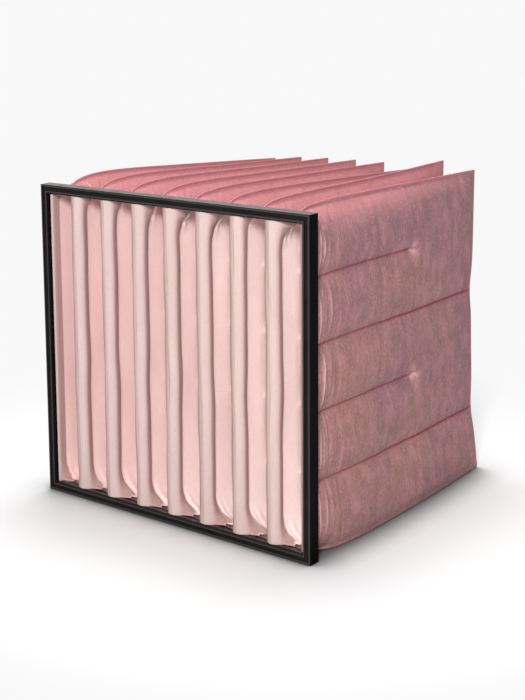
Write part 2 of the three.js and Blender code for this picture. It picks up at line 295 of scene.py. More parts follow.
def section(k, side, depth, plan):
    """One column of a sheet's outer side: x, y, z and the height share of every row."""
    fixed, ends = plan
    low, high = bottom_z(depth), top_z(k, depth)
    seam = mix(MOUTH_SEAM_WIDTH, SEAM_WIDTH, min(1, max(0, depth - BACK) / SEAM_SPREAD_LENGTH))
    half = (high - low) / 2 - seam
    centre = (high + low) / 2
    full = half_width(depth) - SEAM_HALF
    foot = end_heights(depth, full, half, fixed[0], ends)
    head = 1 - end_heights(depth, full, half, 1 - fixed[-1], ends)[::-1]
    h = np.concatenate([foot, fixed, head])
    fill = np.sqrt(np.maximum(0, 1 - np.abs(2 * h - 1) ** power_at(depth)))
    swell = full * fill
    puffed = np.maximum(swell / 2, swell + fill * quilting(h, depth, side))
    x = middle_x(k, depth) + foot_shift(h, depth, full - swell) + side * (SEAM_HALF + puffed)
    y = depth - rear_pull(h, depth)
    z = centre + (2 * h - 1) * half
    middle = middle_x(k, depth) + foot_shift(h, depth, full - swell)
    flange_h = np.array([0.0, 0.0])
    flange_x = middle_x(k, depth) + foot_shift(flange_h, depth, full) + side * SEAM_HALF
    flange_z = np.array([low, mix(low, low + seam, 0.5)])
    top_x = np.full(2, middle_x(k, depth) + side * SEAM_HALF)
    top_edge = np.array([mix(high - seam, high, 0.5), high])
    return (
        np.concatenate([flange_x, x, top_x]),
        np.concatenate([np.full(2, depth), y, np.full(2, depth)]),
        np.concatenate([flange_z, z, top_edge]),
        np.concatenate([flange_h, h, flange_h + 1]),
        np.concatenate([flange_x - side * SEAM_HALF, middle, top_x - side * SEAM_HALF]),
    )


def body_grid(k, side, detail):
    plan = row_plan(detail)
    depths = column_plan(detail)
    columns = [section(k, side, float(d), plan) for d in depths]
    points = np.array([[c[0], c[1], c[2]] for c in columns]).transpose(0, 2, 1)
    heights = np.array([c[3] for c in columns])
    middles = np.array([c[4] for c in columns])
    return points, heights, depths, middles


def front_columns(k, side, z_row):
    """The fold round the rod, or the straight end of an outermost sheet, front first."""
    outermost = k == 0 if side < 0 else k == POCKET_COUNT - 1
    columns = []
    rod_x = middle_x(k, 0.0) + side * PITCH / 2
    for i in range(FOLD_STEPS + 1):
        if outermost:
            x = middle_x(k, 0.0) + side * MOUTH_HALF
            y = mix(SIDE_SHEET_SETBACK, ROD_MIDDLE, i / FOLD_STEPS)
        else:
            angle = (i / FOLD_STEPS) ** FOLD_CROWDING * math.pi / 2
            x = rod_x - side * max(0.01, (ROD_WIDTH / 2 + CLEARANCE) * math.sin(angle))
            y = ROD_MIDDLE - (ROD_DEPTH / 2 + CLEARANCE) * math.cos(angle)
        columns.append(np.stack([np.full(len(z_row), x), np.full(len(z_row), y), z_row], 1))
    return np.array(columns)


def front_normals(k, side, count):
    """Directions from the rod's side of the media to its open side, for the front columns."""
    outermost = k == 0 if side < 0 else k == POCKET_COUNT - 1
    out = []
    for i in range(count):
        turned = 1 if outermost else (i / (count - 1)) ** FOLD_CROWDING
        angle = turned * math.pi / 2
        out.append((-side * math.sin(angle), -math.cos(angle), 0.0))
    return np.array(out)


def wobble(x, y, seed):
    """Smooth waves that look uneven, from a few sines with fixed phases."""
    a = np.sin(x * 1.0 + y * 0.31 + seed * 1.7)
    b = np.sin(x * 0.43 - y * 0.87 + seed * 2.9 + 1.3)
    c = np.sin(x * 1.71 + y * 1.13 + seed * 0.7 + 4.1)
    return (a + 0.8 * b + 0.5 * c) / 2.3


def mouth_calm(depths, side):
    """0 where a sheet shows inside a mouth, which is smooth there, and 1 further back."""
    if side > 0:
        return np.ones(len(depths))[:, None]
    return smooth((depths[:, None] - CREASE_START) / CREASE_LENGTH)


def line_rows(heights):
    """The row that each stitched line runs along."""
    return [int(np.argmin(np.abs(heights[0] - line))) for line in SEAM_LINES]


def line_reach(depths, i):
    """1 along a stitched line and 0 past the end of a short one."""
    if i % 2 == 0:
        return np.ones(len(depths))
    return 1 - smooth((along(depths) - SHORT_REACH) / 0.012)


def grooves(points, heights, depths):
    """The narrow groove that the thread draws along each stitched line."""
    z = points[:, :, 2]
    out = np.zeros(z.shape)
    for i, row in enumerate(line_rows(heights)):
        away = np.abs(z - z[:, row:row + 1])
        start = smooth((depths - BACK) / 6) * line_reach(depths, i)
        out = np.maximum(out, start[:, None] * np.exp(-((away / GROOVE_WIDTH) ** 2)))
    return GROOVE_DEPTH * out


def puckers(points, heights, depths, side):
    """Star creases at the ends of the short lines."""
    out = np.zeros(points.shape[:2])
    d = depths[:, None] * np.ones_like(out)
    z = points[:, :, 2]
    for i in (1, 3):
        row = line_rows(heights)[i]
        dz = z - z[:, row:row + 1]
        dy = d - SHORT_END
        r = np.hypot(dy, dz) + 1e-6
        angle = np.arctan2(dz, dy)
        star = np.cos(STAR_RAYS * angle + STAR_TURN * i + side) * np.exp(-r / 18) * smooth(r / 7)
        dimple = np.exp(-((r / 7) ** 2))
        out += STAR_HEIGHT * star - DIMPLE_DEPTH * dimple
    return out


def pucker_marks(points, heights, depths):
    """1 at the ends of the short lines, where the drawn cloth catches the light."""
    z = points[:, :, 2]
    out = np.zeros(z.shape)
    for i in (1, 3):
        row = line_rows(heights)[i]
        dy, dz = depths[:, None] - SHORT_END, z - z[:, row:row + 1]
        away = np.hypot(dy, dz)
        angle = np.arctan2(dz, dy)
        rays = np.cos(STAR_RAYS * angle + STAR_TURN * i)
        out = np.maximum(out, np.exp(-((away / 13) ** 2)) * (0.55 + 0.45 * rays))
    return out


def panel_share(heights):
    """How far up its panel each point lies, 0 and 1 being the stitched lines beside it."""
    lines = np.array([0.0, *SEAM_LINES, 1.0])
    above = np.clip(np.searchsorted(lines, heights, side="left"), 1, len(lines) - 1)
    return (heights - lines[above - 1]) / (lines[above] - lines[above - 1]), above


def gathers(points, heights, depths, k, side):
    """Upright folds behind the header, a few in each panel, each bowed and of its own height."""
    d = depths[:, None] * np.ones(heights.shape)
    z = points[:, :, 2]
    share, panel = panel_share(heights)
    out = np.zeros(heights.shape)
    for j in range(FOLD_COUNT):
        seed = 1.7 * j + 2.3 * k + 0.9 * side
        lift = wobble(panel * 2.1 + seed, panel * 1.3 - seed, seed)
        bow = 7.0 * share * wobble(z / 60, panel + seed, seed)
        centre = FOLDS_START + 6 + FOLD_SPACING * j + 4.0 * lift + bow
        width = 2.6 + 0.5 * j
        reach = np.sin(np.pi * np.clip(share + 0.2 * lift, 0, 1)) ** 0.7
        crest = np.exp(-(((d - centre) / width) ** 2))
        hollow = np.exp(-(((d - centre - 1.9 * width) / width) ** 2))
        size = (FOLD_HEIGHT - 0.45 * j) * (0.75 + 0.25 * np.sin(5.1 * seed + 2.2 * panel))
        out += size * reach * (crest - 0.6 * hollow)
    return out


def wrinkles(points, heights, depths, k, side):
    """Slack in the cloth: folds near the header, gathers along the lower hem, soft dents."""
    d = depths[:, None] * np.ones(points.shape[:2])
    z = points[:, :, 2]
    seed = k * 3.1 + (side + 1) * 1.9
    out = gathers(points, heights, depths, k, side)
    near = np.exp(-np.maximum(0, d - 60) / 70) * smooth((d - 40) / 30)
    out += NEAR_CREASE * near * wobble(d / 4.4 + 1.5 * wobble(z / 70, d / 90, seed), z / 45, seed)
    hem = np.exp(-np.maximum(0, z - 4) / 45) * smooth((d - 40) / 60)
    out += HEM_CREASE * hem * wobble(d / 7.5 + 1.5 * wobble(z / 40, d / 60, seed + 2), z / 60, seed + 5)
    crown = np.exp(-np.maximum(0, HEADER_HEIGHT - z) / 40) * np.exp(-np.maximum(0, d - FOLDS_START) / 60)
    fan = wobble(d / 3.6 + 0.16 * (z - HEADER_HEIGHT), z / 50, seed + 3)
    out += TOP_CREASE * crown * np.sign(fan) * np.abs(fan) ** 0.8 * smooth((d - BACK) / 8)
    far = smooth((d - 60) / 120)
    out += DENT * far * wobble(d / 31, z / 44, seed + 1)
    return out + SMALL_DENT * far * wobble(d / 12, z / 29, seed + 8)


def edge_fade(points, depths):
    """0 on the seams and at the header, 1 in the field."""
    d = depths[:, None]
    steps = np.linalg.norm(np.diff(points, axis=1), axis=2)
    run = np.concatenate([np.zeros((len(depths), 1)), np.cumsum(steps, axis=1)], axis=1)
    ends = smooth((run - SEAM_WIDTH) / 12) * smooth((run[:, -1:] - SEAM_WIDTH - run) / 12)
    return ends * smooth((SEAM_DEPTH - d) / 25) * smooth((d - BACK) / 7)


def grid_normals(points):
    du = np.gradient(points, axis=0)
    dv = np.gradient(points, axis=1)
    n = np.cross(du, dv)
    length = np.linalg.norm(n, axis=2, keepdims=True)
    return n / np.maximum(length, 1e-9)


def outward(points, side):
    """Unit normals of the outer side, pointing away from the pocket."""
    n = grid_normals(points)
    if np.mean(n[:, :, 0]) * side < 0:
        n = -n
    return n


def simulate(grids, pins, slacks, quick_look):
    """Lets the cloth of one pocket settle: a little too large, puffed out, held by its seams."""
    if quick_look:
        return [g.copy() for g in grids]
    vertices, faces, weights, loose, start = [], [], [], [], 0
    for g, pin, slack in zip(grids, pins, slacks):
        c, r = g.shape[:2]
        vertices.append(g.reshape(-1, 3) / CLOTH_SCALE)
        weights.append(pin.reshape(-1))
        loose.append(np.round(slack.reshape(-1), 1))
        ids = start + np.arange(c * r).reshape(c, r)
        quads = np.stack([ids[:-1, :-1], ids[1:, :-1], ids[1:, 1:], ids[:-1, 1:]], -1).reshape(-1, 4)
        if g is grids[0]:
            quads = quads[:, ::-1]
        faces.append(quads)
        start += c * r
    vertices = np.concatenate(vertices)
    faces = np.concatenate(faces)
    weights = np.concatenate(weights)
    mesh = bpy.data.meshes.new("settling")
    mesh.from_pydata(vertices.tolist(), [], faces.tolist())
    o = placed("settling", mesh)
    loose = np.concatenate(loose)
    for name, values in (("held", weights), ("slack", loose)):
        group = o.vertex_groups.new(name=name)
        for w in np.unique(values):
            if w > 0:
                group.add([int(i) for i in np.nonzero(values == w)[0]], float(w), "REPLACE")
    cloth = o.modifiers.new("Cloth", "CLOTH")
    s = cloth.settings
    s.quality = 4
    s.mass = 0.3
    s.tension_stiffness = 12
    s.compression_stiffness = 12
    s.shear_stiffness = 6
    s.bending_stiffness = 0.6
    s.tension_damping = 12
    s.compression_damping = 12
    s.air_damping = 6
    s.vertex_group_mass = "held"
    s.pin_stiffness = 5
    s.vertex_group_shrink = "slack"
    s.shrink_min = -0.012
    s.shrink_max = -0.07
    s.use_pressure = True
    s.uniform_pressure_force = 1.2
    s.effector_weights.gravity = 0
    cloth.collision_settings.use_collision = False
    cloth.point_cache.frame_start = 1
    cloth.point_cache.frame_end = SETTLE_FRAMES
    scene = bpy.context.scene
    for f in range(1, SETTLE_FRAMES + 1):
        scene.frame_set(f)
    dg = bpy.context.evaluated_depsgraph_get()
    out = np.zeros(len(vertices) * 3)
    e = o.evaluated_get(dg)
    e.data.vertices.foreach_get("co", out)
    out = out.reshape(-1, 3) * CLOTH_SCALE
    bpy.data.objects.remove(o)
    bpy.data.meshes.remove(mesh)
    scene.frame_set(1)
    settled, start = [], 0
    for g in grids:
        n = g.shape[0] * g.shape[1]
        settled.append(out[start:start + n].reshape(g.shape))
        start += n
    return settled


def capped(moved, base, most):
    """The moved points, none of them further than this from where they were."""
    step = moved - base
    length = np.linalg.norm(step, axis=2, keepdims=True)
    return base + step * np.minimum(1, most / np.maximum(length, 1e-9))


def media_grids(k, detail, quick_look):
    """The outer side of both sheets of a pocket, after settling and with their small creases."""
    made = [body_grid(k, side, detail) for side in (-1, 1)]
    pins, slacks = [], []
    for (_, heights, depths, _), side in zip(made, (-1, 1)):
        d = depths[:, None]
        slack = np.exp(-np.maximum(0, d - BACK) / 45) + 0.5 * np.exp(-heights * HEADER_HEIGHT / 60)
        slack = slack + 0.5 * np.exp(-(1 - heights) * HEADER_HEIGHT / 40)
        slacks.append(np.clip(slack * mouth_calm(depths, side), 0, 1))
        pin = np.zeros(heights.shape)
        pin[0, :] = 1
        pin[depths >= SEAM_DEPTH - 1, :] = 1
        pin[:, :3] = 1
        pin[:, -3:] = 1
        for i, row in enumerate(line_rows(heights)):
            pin[line_reach(depths, i) > 0.5, row] = 1
        pins.append(pin)
    settled = simulate([m[0] for m in made], pins, slacks, quick_look)
    out = []
    for (points, heights, depths, middles), moved, side in zip(made, settled, (-1, 1)):
        n = outward(points, side)
        fade = edge_fade(points, depths)
        calm = mouth_calm(depths, side)
        g = points + (capped(moved, points, SETTLE_CAP) - points) * calm[:, :, None]
        small = wrinkles(points, heights, depths, k, side) + puckers(points, heights, depths, side)
        small -= grooves(points, heights, depths)
        step = small * fade * calm
        g = g + n * step[:, :, None]
        # Painted highlight: the crests of the folds near the header and the short lines' ends take the
        # pale colour
        crest_highlights = smooth((step - 0.8) / 1.8) * smooth((190 - depths[:, None]) / 40)
        crest_highlights = np.maximum(crest_highlights, pucker_marks(points, heights, depths))
        out.append((kept_apart(g, points, middles, side), heights, depths, middles, crest_highlights))
    return out


def kept_apart(g, points, middles, side):
    """Keeps a sheet more than half as far from the pocket's middle as it was before it moved."""
    was = (points[:, :, 0] - middles) * side
    now = (g[:, :, 0] - middles) * side
    least = was - 0.45 * np.maximum(0, was - SEAM_HALF)
    g[:, :, 0] += side * np.maximum(0, least - now)
    return g


def thickness_of(outer, heights, depths, middles):
    """The sheet's thickness: thin in the seams, full in the field, and clear of the middle."""
    h = heights
    d = depths[:, None]
    t = smooth(h / 0.02) * smooth((1 - h) / 0.02) * smooth((SEAM_DEPTH - d) / 30)
    room = np.abs(outer[:, :, 0] - middles) - CLEARANCE / 2
    return np.minimum(mix(SEAM_THICKNESS, MEDIA, t), np.maximum(SEAM_THICKNESS / 2, room))


def seam_share(x, seam_x, side):
    """0 at the bottom or top seam and 1 out on the side of the pocket."""
    return smooth((x - seam_x[:, None]) * side / (0.9 * MOUTH_HALF))


def mouth_shift(points, k, side, low_seam, top_seam):
    """How the cloth round a mouth departs from the plain fold: sway, pinch, flares, apron."""
    x, y, z = points[:, :, 0], points[:, :, 1], points[:, :, 2]
    shift = np.zeros(points.shape)
    bar = k if side < 0 else k + 1
    is_bar = 0 < bar < POCKET_COUNT
    inside = smooth((z - MOUTH_LOW) / 30) * smooth((MOUTH_HIGH - z) / 30)
    if is_bar:
        near = 1 - smooth((y - 30) / 60)
        shift[:, :, 0] += BAR_SWAY * near * inside * wobble(z / 75, bar * 2.0, bar)
        length = np.where(y < PINCH_DEPTH, PINCH_LENGTH, PINCH_RETURN)
        roll = np.exp(-(((y - PINCH_DEPTH) / length) ** 2))
        uneven = 1 + 0.3 * wobble(z / 33, bar * 1.3, bar + 4)
        shift[:, :, 0] += side * PINCH * roll * uneven * inside
        flank = smooth((y - 4) / 8) * (1 - smooth((y - 22) / 8))
        shift[:, :, 0] -= side * BAR_SWELL * flank * inside * wobble(z / 29, bar * 1.1 + side, bar + 9)
        folds = wobble((x - bar * PITCH) / 1.9 + 0.8 * np.sin(z / 37 + bar), z / 60, bar + 2)
        shift[:, :, 1] -= BAR_FOLDS * folds * inside * (1 - smooth((y - 12) / 8))
    swung = smooth((y - 7) / 15) * (1 - smooth((y - 34) / 34))
    head = np.clip(1 - (MOUTH_HIGH - z) / TOP_FLARE_HEIGHT, 0, 1) ** 1.6
    foot = np.clip(1 - (z - MOUTH_LOW) / FOOT_FLARE_HEIGHT, 0, 1) ** 1.5
    top_part = TOP_FLARE[k] * seam_share(x, top_seam, side) * head
    foot_part = FOOT_FLARE[k] * seam_share(x, low_seam, side) * foot
    flare = np.zeros(z.shape)
    if side < 0:
        flare = top_part + foot_part
        folds = 0.10 * np.sin(z / 2.9 + k) + 0.16 * np.sin(y / 2.6 + z / 21 + k)
        shift[:, :, 0] += swung * (1 + folds) * flare
    floor = np.clip(1 - (z - MOUTH_LOW) / 5, 0, 1)
    at_edge = np.exp(-(((y - BACK) / 9) ** 2)) * smooth((y - 16) / 6)
    reach = 0.75 + 0.25 * wobble(x / 7, k * 1.0, k)
    frayed = 0.7 * np.sin(x / 0.9 + k) * np.sin(x / 2.3)
    shift[:, :, 1] -= at_edge * floor * (APRON * reach + frayed)
    shift[:, :, 2] += at_edge * floor * (1.2 + 1.3 * wobble(x / 6, k * 2.0, k + 2))
    ragged = 1.0 * wobble(z / 9, k * 1.9, k + 6) * smooth(flare / 4)
    bar_edge = BAR_BACK + 0.7 * flare + ragged
    # Masks for painted light and shade: where the bar's colour ends, and the painted shade of the flared
    # corners
    marks = {
        "bar": 1 - smooth((y - bar_edge) / 2.2),
        "flare": smooth(flare / 9) * smooth((y - 12) / 8),
    }
    return shift, marks


def closed_sheet(outer, inner):
    """One closed mesh from the outer and inner grids of a sheet, with the faces' kinds."""
    c, r = outer.shape[:2]
    vertices = np.concatenate([outer.reshape(-1, 3), inner.reshape(-1, 3)])
    a = np.arange(c * r).reshape(c, r)
    b = a + c * r
    def quads(p, q, s, t):
        return np.stack([p, q, s, t], -1).reshape(-1, 4)
    outside = quads(a[:-1, :-1], a[1:, :-1], a[1:, 1:], a[:-1, 1:])
    inside = quads(b[:-1, :-1], b[:-1, 1:], b[1:, 1:], b[1:, :-1])
    rims = [
        quads(a[:-1, 0], b[:-1, 0], b[1:, 0], a[1:, 0]),
        quads(a[:-1, -1], a[1:, -1], b[1:, -1], b[:-1, -1]),
        quads(a[0, :-1], a[0, 1:], b[0, 1:], b[0, :-1]),
        quads(a[-1, :-1], b[-1, :-1], b[-1, 1:], a[-1, 1:]),
    ]
    return vertices, outside, inside, rims


def signed_volume(vertices, faces):
    p = vertices[faces]
    v = np.einsum("ij,ij->i", p[:, 0], np.cross(p[:, 1], p[:, 2])).sum()
    return v + np.einsum("ij,ij->i", p[:, 0], np.cross(p[:, 2], p[:, 3])).sum()


def to_metres(vertices):
    v = np.array(vertices, float) / 1000.0
    v[:, 1] -= OVERALL_DEPTH / 2000.0
    return v


def mesh_object(name, vertices, faces, materials, kinds=None, is_smooth=True):
    mesh = bpy.data.meshes.new(name)
    mesh.from_pydata(to_metres(vertices).tolist(), [], [list(map(int, f)) for f in faces])
    for m in materials:
        mesh.materials.append(m)
    if kinds is not None:
        mesh.polygons.foreach_set("material_index", np.asarray(kinds, np.int32))
    mesh.polygons.foreach_set("use_smooth", np.full(len(mesh.polygons), is_smooth))
    mesh.update()
    return placed(name, mesh)


def front_heights(z):
    """Heights on the rod for each row: the rows of the pocket's floor and roof fan out here."""
    z = np.clip(z, MOUTH_LOW, MOUTH_HIGH)
    count = len(z)
    rows = np.arange(count)
    low = MOUTH_LOW + FAN_STEP * rows
    high = MOUTH_HIGH - FAN_STEP * (count - 1 - rows)
    return np.minimum(np.maximum(z, low), np.maximum(high, MOUTH_LOW + 0.01 * rows))


def groove_shade_marks(outer, heights, depths):
    """1 along a stitched line, redder toward the rear of the long ones, and 0 away from it: a dark red
    line, partly the thread's colour and partly painted shade in its groove.
    """
    z = outer[:, :, 2]
    out = np.zeros(z.shape)
    for i, row in enumerate(line_rows(heights)):
        away = np.abs(z - z[:, row:row + 1])
        red = mix(0.45, 1.0, smooth((along(depths) - 0.25) / 0.3)) if i % 2 == 0 else 0.45
        strength = line_reach(depths, i) * red
        out = np.maximum(out, strength[:, None] * np.exp(-((away / 1.8) ** 2)))
    return out


# The sheets' material places: the plain outer side is 0
INNER, HEM, RIDGE = 1, 2, 3


def make_sheet(name, k, side, grid, materials):
    outer, heights, depths, middles, crest_highlights = grid
    n = outward(outer, side)
    inner = outer - n * thickness_of(outer, heights, depths, middles)[:, :, None]
    seam_x = middle_x(k, depths) + side * SEAM_HALF
    low_seam = seam_x + foot_shift(np.zeros(len(depths)), depths, half_width(depths) - SEAM_HALF)
    front = front_columns(k, side, outer[0, :, 2])
    front_n = front_normals(k, side, len(front))
    front[:, :, 2] = front_heights(outer[0, :, 2])
    front_inner = front + (front_n * MEDIA)[:, None, :]
    all_outer = np.concatenate([front, outer])
    all_inner = np.concatenate([front_inner, inner])
    seam = np.concatenate([np.full(len(front), seam_x[0]), low_seam])
    top_seam = np.concatenate([np.full(len(front), seam_x[0]), seam_x])
    shift, marks = mouth_shift(all_outer, k, side, seam, top_seam)
    in_front = np.zeros((len(front), outer.shape[1]))
    marks["line"] = np.concatenate([in_front, groove_shade_marks(outer, heights, depths)])
    # The pale mark: painted highlight on crests and puckers, and the lighter hem along the bottom and
    # rear edges
    marks["pale"] = np.concatenate([in_front, crest_highlights])
    marks["pale"][len(front) + 8:, 0] = 0.9
    marks["pale"][-1, :] = 0.8
    # Painted light from above: where these sheets form the top, the outer side takes the lighter rose
    high = smooth((all_outer[:, :, 2] - 500) / 50)
    marks["top"] = high if side > 0 and k < POCKET_COUNT - 1 else 0 * high
    all_outer += shift
    all_inner += shift
    vertices, outside, inside, rims = closed_sheet(all_outer, all_inner)
    parts = [outside, inside, *rims]
    faces = np.concatenate(parts)
    rows = all_outer.shape[1] - 1
    to_back = len(front) + 3
    outside_kinds = np.zeros(len(outside))
    outside_kinds.reshape(-1, rows)[:, -1:] = RIDGE
    bottom_kinds = np.full(len(rims[0]), HEM)
    bottom_kinds[:to_back] = INNER
    top_kinds = np.full(len(rims[1]), RIDGE)
    top_kinds[:to_back] = INNER
    inside_kinds = np.full(len(inside), INNER)
    front_kinds = np.full(len(rims[2]), INNER)
    rear_kinds = np.full(len(rims[3]), HEM)
    kinds = np.concatenate(
        [outside_kinds, inside_kinds, bottom_kinds, top_kinds, front_kinds, rear_kinds])
    if signed_volume(vertices, faces) < 0:
        faces = faces[:, ::-1]
    o = mesh_object(name, vertices, faces, materials, kinds)
    for label, values in marks.items():
        attribute = o.data.attributes.new(label, "FLOAT", "POINT")
        attribute.data.foreach_set("value", np.tile(values.reshape(-1), 2).astype(np.float32))
    is_side = np.arange(len(faces)) < len(outside) + len(inside)
    o.data.polygons.foreach_set("use_smooth", is_side)
    return o, all_outer[len(front):]


def dash(points, n):
    """One stitch: a four-sided rod along the given points, tapered at both ends."""
    vertices, faces = [], []
    last = len(points) - 1
    for i, point in enumerate(points):
        ahead = points[min(i + 1, last)] - points[max(i - 1, 0)]
        ahead = ahead / max(np.linalg.norm(ahead), 1e-9)
        across = np.cross(ahead, n[i])
        r = THREAD_RADIUS * (0.45 if i in (0, last) else 1.0)
        lift = point + n[i] * (0.5 * THREAD_RADIUS - (0.5 if i in (0, last) else 0))
        for a, b in ((1, 0), (0, 1), (-1, 0), (0, -1)):
            vertices.append(lift + r * (a * across + b * n[i]))
    for i in range(last):
        for j in range(4):
            a, b = 4 * i + j, 4 * i + (j + 1) % 4
            faces.append((a, b, b + 4, a + 4))
    faces.append((3, 2, 1, 0))
    faces.append(tuple(4 * last + j for j in range(4)))
    return vertices, faces


def make_thread(name, side, outer, grid, material):
    """The stitches along a sheet's four lines, lying in their grooves."""
    heights, depths = grid[1:3]
    n = outward(outer, side)
    vertices, faces = [], []
    for i, row in enumerate(line_rows(heights)):
        end = SHORT_END if i % 2 else SEAM_DEPTH - 2
        use = depths <= end + 8
        path, normals = outer[use, row], n[use, row]
        run = np.concatenate([[0], np.cumsum(np.linalg.norm(np.diff(path, axis=0), axis=1))])
        start = BACK + 3 - depths[0]
        stop = np.interp(end, depths[use], run)
        while start + STITCH_LENGTH < stop:
            at = start + STITCH_LENGTH * np.array([0, 0.2, 0.8, 1.0])
            points = np.stack([np.interp(at, run, path[:, c]) for c in range(3)], 1)
            ns = np.stack([np.interp(at, run, normals[:, c]) for c in range(3)], 1)
            v, f = dash(points, ns)
            faces.extend(tuple(len(vertices) + q for q in face) for face in f)
            vertices.extend(v)
            start += STITCH_LENGTH + STITCH_GAP
    return mesh_object(name, vertices, faces, [material])


# Materials


def srgb(text):
    """A screen colour, as six digits, in the light values that a material takes."""
    out = []
    for i in (0, 2, 4):
        c = int(text[i:i + 2], 16) / 255
        out.append(c / 12.92 if c <= 0.04045 else ((c + 0.055) / 1.055) ** 2.4)
    return (*out, 1.0)


def colors(texts):
    return [srgb(text) for text in texts.split()]


def shader(name, roughness, metallic=0.0):
    m = bpy.data.materials.new(name)
    m.use_nodes = True
    tree = m.node_tree
    b = tree.nodes["Principled BSDF"]
    b.inputs["Roughness"].default_value = roughness
    b.inputs["Metallic"].default_value = metallic
    return m, tree, b, added(tree, "TexCoord").outputs["Object"]


def added(tree, kind):
    return tree.nodes.new("ShaderNode" + kind)


def noise(tree, coords, scale, detail=3.0, stretch=None):
    n = added(tree, "TexNoise")
    n.inputs["Scale"].default_value = scale
    n.inputs["Detail"].default_value = detail
    if stretch:
        m = added(tree, "Mapping")
        m.inputs["Scale"].default_value = stretch
        tree.links.new(coords, m.inputs["Vector"])
        coords = m.outputs["Vector"]
    tree.links.new(coords, n.inputs["Vector"])
    return n.outputs["Fac"]


def ramp(tree, source, stops):
    r = added(tree, "ValToRGB")
    e = r.color_ramp.elements
    while len(e) < len(stops):
        e.new(0.5)
    for element, (place, color) in zip(e, stops):
        element.position = place
        element.color = color
    tree.links.new(source, r.inputs["Fac"])
    return r.outputs["Color"]


def mixed(tree, a, b, factor, kind="MIX"):
    m = added(tree, "Mix")
    m.data_type = "RGBA"
    m.blend_type = kind
    for socket, value in ((m.inputs[6], a), (m.inputs[7], b), (m.inputs[0], factor)):
        if isinstance(value, bpy.types.NodeSocket):
            tree.links.new(value, socket)
        else:
            socket.default_value = value
    return m.outputs[2]


def bumped(tree, b, parts, distance):
    normal = None
    for source, strength in parts:
        n = added(tree, "Bump")
        n.inputs["Strength"].default_value = strength
        n.inputs["Distance"].default_value = distance
        tree.links.new(source, n.inputs["Height"])
        if normal is not None:
            tree.links.new(normal, n.inputs["Normal"])
        normal = n.outputs["Normal"]
    tree.links.new(normal, b.inputs["Normal"])


def spread(tree, source, low, high):
    """0 where the source is low and 1 where it is high, with a soft step between."""
    m = added(tree, "MapRange")
    m.interpolation_type = "SMOOTHSTEP"
    m.inputs["From Min"].default_value = low
    m.inputs["From Max"].default_value = high
    tree.links.new(source, m.inputs["Value"])
    return m.outputs["Result"]


def mark(tree, name):
    """A value that the mesh carries at its points."""
    a = added(tree, "Attribute")
    a.attribute_name = name
    return a.outputs["Fac"]


def scaled(color, by):
    return (*(min(1, c * by) for c in color[:3]), 1.0)


def grey(tone):
    return (tone, tone, tone, 1.0)


def fibres(tree, coords, base, b, speckle, grain_depth):
    """The nap and the speckle of non-woven fibre, laid over a base colour."""
    fibre = noise(tree, coords, 420.0, 5.0, (1.0, 1.0, 0.5))
    grain = noise(tree, coords, 900.0, 2.0)
    low = 1 - speckle
    speck = ramp(tree, fibre, [(0.33, (low, low * 0.98, low * 0.99, 1)), (0.62, grey(1))])
    tree.links.new(mixed(tree, base, speck, 1.0, "MULTIPLY"), b.inputs["Base Color"])
    b.inputs["Sheen Weight"].default_value = 0.06
    b.inputs["Sheen Roughness"].default_value = 0.5
    b.inputs["Specular IOR Level"].default_value = 0.12
    bumped(tree, b, [(fibre, grain_depth), (grain, grain_depth)], 0.0006)


def worked_out(tree, kind, *values):
    """A math node's result, from sockets and plain numbers."""
    m = added(tree, "Math")
    m.operation = kind
    for socket, value in zip(m.inputs, values):
        if isinstance(value, bpy.types.NodeSocket):
            tree.links.new(value, socket)
        else:
            socket.default_value = value
    return m.outputs[0]


def axes(tree, vector):
    split = added(tree, "SeparateXYZ")
    tree.links.new(vector, split.inputs[0])
    return split.outputs


def outer_material(name, mauve, brown, rose, lit_top_rose, groove_shade_red, pale):
    """The clean-air side: cloudy mauve and brown-pink, faint streaks, and painted light from above in a
    lighter, rosier tint on top.
    """
    m, tree, b, coords = shader(name, 0.92)
    cloud = noise(tree, coords, 6.0, 5.0)
    patch = noise(tree, coords, 38.0, 4.0, (1.0, 1.0, 0.7))
    mottle = noise(tree, coords, 300.0, 4.0, (1.0, 1.0, 0.7))
    streak = noise(tree, coords, 130.0, 3.0, (1.0, 1.0, 0.16))
    base = ramp(tree, cloud, [(0.38, mauve), (0.6, brown)])
    rosiness = ramp(tree, patch, [(0.42, grey(0)), (0.7, grey(0.6))])
    base = mixed(tree, base, rose, rosiness)
    for source, low, high in ((streak, 0.94, 1.04), (mottle, 0.82, 1.14), (patch, 0.94, 1.05)):
        shade = ramp(tree, source, [(0.36, grey(low)), (0.64, grey(high))])
        base = mixed(tree, base, shade, 1.0, "MULTIPLY")
    # Painted light: faces that look up near the top, and the marked tops, take a lighter rose
    normal = axes(tree, added(tree, "NewGeometry").outputs["Normal"])
    faces_up = spread(tree, normal["Z"], 0.1, 0.75)
    is_high = spread(tree, axes(tree, coords)["Z"], 0.54, 0.585)
    painted_top_light = worked_out(tree, "MULTIPLY", faces_up, is_high)
    painted_top_light = worked_out(tree, "MAXIMUM", painted_top_light, mark(tree, "top"))
    painted_top_tones = ramp(tree, mottle, [(0.3, scaled(lit_top_rose, 0.9)), (0.7, scaled(lit_top_rose, 1.15))])
    base = mixed(tree, base, painted_top_tones, painted_top_light)
    # Pale: painted highlight on crests and puckers, and the lighter hem along the edges
    highlight_and_hem_share = worked_out(tree, "MULTIPLY", mark(tree, "pale"), 0.6)
    base = mixed(tree, base, pale, highlight_and_hem_share)
    # A dark red line along each stitched line: partly the thread's colour, partly painted shade in the
    # groove
    fibres(tree, coords, mixed(tree, base, groove_shade_red, mark(tree, "line")), b, 0.14, 0.3)
    return m


